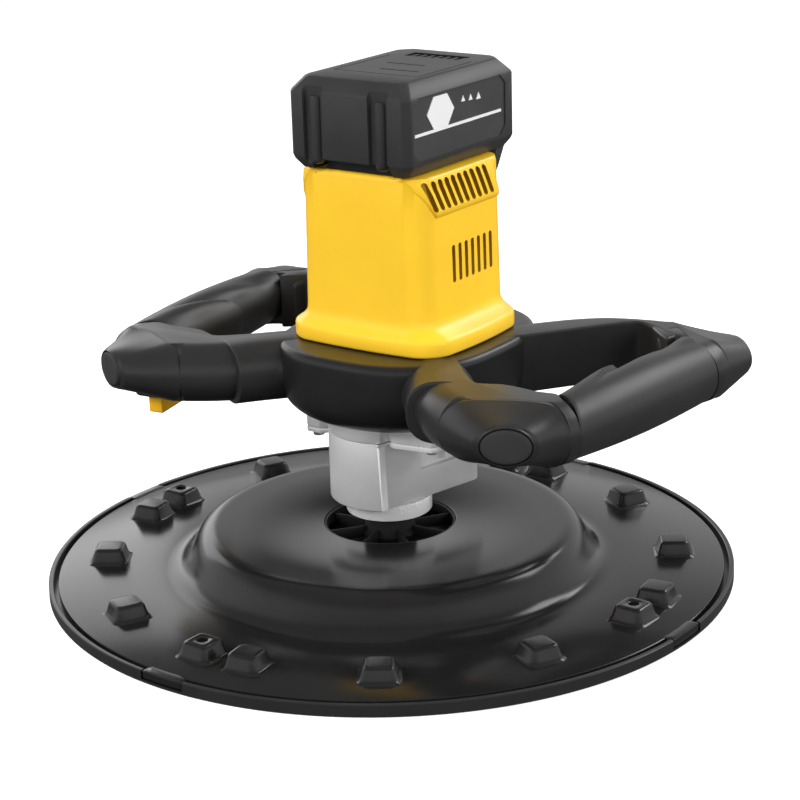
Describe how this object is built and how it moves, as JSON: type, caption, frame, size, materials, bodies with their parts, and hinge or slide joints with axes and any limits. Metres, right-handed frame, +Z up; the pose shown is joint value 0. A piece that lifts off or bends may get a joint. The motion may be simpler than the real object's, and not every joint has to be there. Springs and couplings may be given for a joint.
{
  "type": "power trowel",
  "caption": "Cordless power trowel: a round finishing plate under a geared motor body, with a closed grip handle on either side, a finger trigger and a slide-on battery pack.",
  "frame": {"origin": "on the floor at the output spindle's axis, which is the centre of the trowel plate", "axes": "+Z up along the spindle; the two handles lie on -X and +X; the motor stands behind the spindle at +Y, and the battery slides off towards +Y"},
  "size_m": [0.4, 0.4, 0.2924],
  "materials": {
    "black_plastic": "satin moulded",
    "pan_plastic": "semi-gloss moulded",
    "yellow_plastic": "satin moulded, yellow",
    "soft_grip": "soft overmould",
    "battery_plastic": "fine texture",
    "cast_alloy": "cast and machined",
    "steel": "machined",
    "plate_steel": "pressed sheet, dark",
    "motor_copper": "wound copper and laminations",
    "circuit_board": "lacquered board",
    "cell_wrap": "shrink wrap",
    "contact_brass": "plated"
  },
  "bodies": {
    "housing": {"gearbox_casting": "cast_alloy", "gearbox_cover": "cast_alloy", "gearbox_screw_1": "steel", "gearbox_screw_2": "steel", "gearbox_screw_3": "steel", "gearbox_screw_4": "steel", "body_shell": "black_plastic", "motor_hood": "yellow_plastic", "controller_board": "circuit_board", "battery_shoe": "black_plastic", "battery_terminals": "contact_brass", "motor_can": "black_plastic", "motor_stator": "motor_copper", "motor_lower_bearing": "steel", "motor_upper_bearing": "steel", "intermediate_bearing": "steel", "spindle_lower_bearing": "steel", "spindle_upper_bearing": "steel", "spindle_seal": "soft_grip", "left_handle_frame": "black_plastic", "right_handle_frame": "black_plastic", "left_grip_sleeve": "soft_grip", "right_grip_sleeve": "soft_grip", "left_front_end_cap": "black_plastic", "left_rear_end_cap": "black_plastic", "right_front_end_cap": "black_plastic", "right_rear_end_cap": "black_plastic", "trigger_guard": "black_plastic", "trigger_switch": "black_plastic", "trigger_spring": "steel"},
    "trowel": {"output_spindle": "cast_alloy", "output_gear": "steel", "drive_hub": "black_plastic", "hub_bolt": "steel", "float_pan": "pan_plastic", "pan_screw_1": "steel", "pan_screw_2": "steel", "pan_screw_3": "steel", "pan_screw_4": "steel", "trowel_plate": "plate_steel"},
    "intermediate": {"intermediate_shaft": "steel", "intermediate_gear": "steel"},
    "rotor": {"motor_shaft": "steel", "motor_rotor": "steel", "motor_fan": "black_plastic"},
    "trigger": {"trigger": "yellow_plastic"},
    "battery": {"battery_case": "battery_plastic", "battery_base": "battery_plastic", "battery_board": "circuit_board", "cell_01": "cell_wrap", "cell_02": "cell_wrap", "cell_03": "cell_wrap", "cell_04": "cell_wrap", "cell_05": "cell_wrap", "cell_06": "cell_wrap", "cell_07": "cell_wrap", "cell_08": "cell_wrap", "cell_09": "cell_wrap", "cell_10": "cell_wrap"},
    "release": {"battery_button": "black_plastic"}
  },
  "joints": [
    {"name": "spindle_spin", "type": "hinge", "parent": "housing", "child": "trowel", "pos_m": [0, 0, 0.05], "axis": [0, 0, 1], "continuous": true},
    {"name": "intermediate_spin", "type": "hinge", "parent": "housing", "child": "intermediate", "pos_m": [-0.01623, 0.0163, 0.06], "axis": [0, 0, 1], "continuous": true},
    {"name": "rotor_spin", "type": "hinge", "parent": "housing", "child": "rotor", "pos_m": [0, 0.022, 0.12], "axis": [0, 0, 1], "continuous": true},
    {"name": "trigger_pull", "type": "hinge", "parent": "housing", "child": "trigger", "pos_m": [-0.15079, 0.02448, 0.096], "axis": [-0.9933, -0.1159, 0], "range_deg": [0, 5.5], "stiffness_Nm_per_rad": 3, "springref_deg": -11.46, "deforming": ["trigger_spring"]},
    {"name": "battery_slide", "type": "slide", "parent": "housing", "child": "battery", "axis": [0, 1, 0], "range_m": [0, 0.095]},
    {"name": "release_press", "type": "slide", "parent": "battery", "child": "release", "axis": [0, 0, 1], "range_m": [0, 0.004], "stiffness_N_per_m": 800, "springref_m": -0.004}
  ],
  "couplings": [
    {"joint": "intermediate_spin", "follows": "spindle_spin", "ratio": -3.6},
    {"joint": "rotor_spin", "follows": "spindle_spin", "ratio": 13.6}
  ]
}
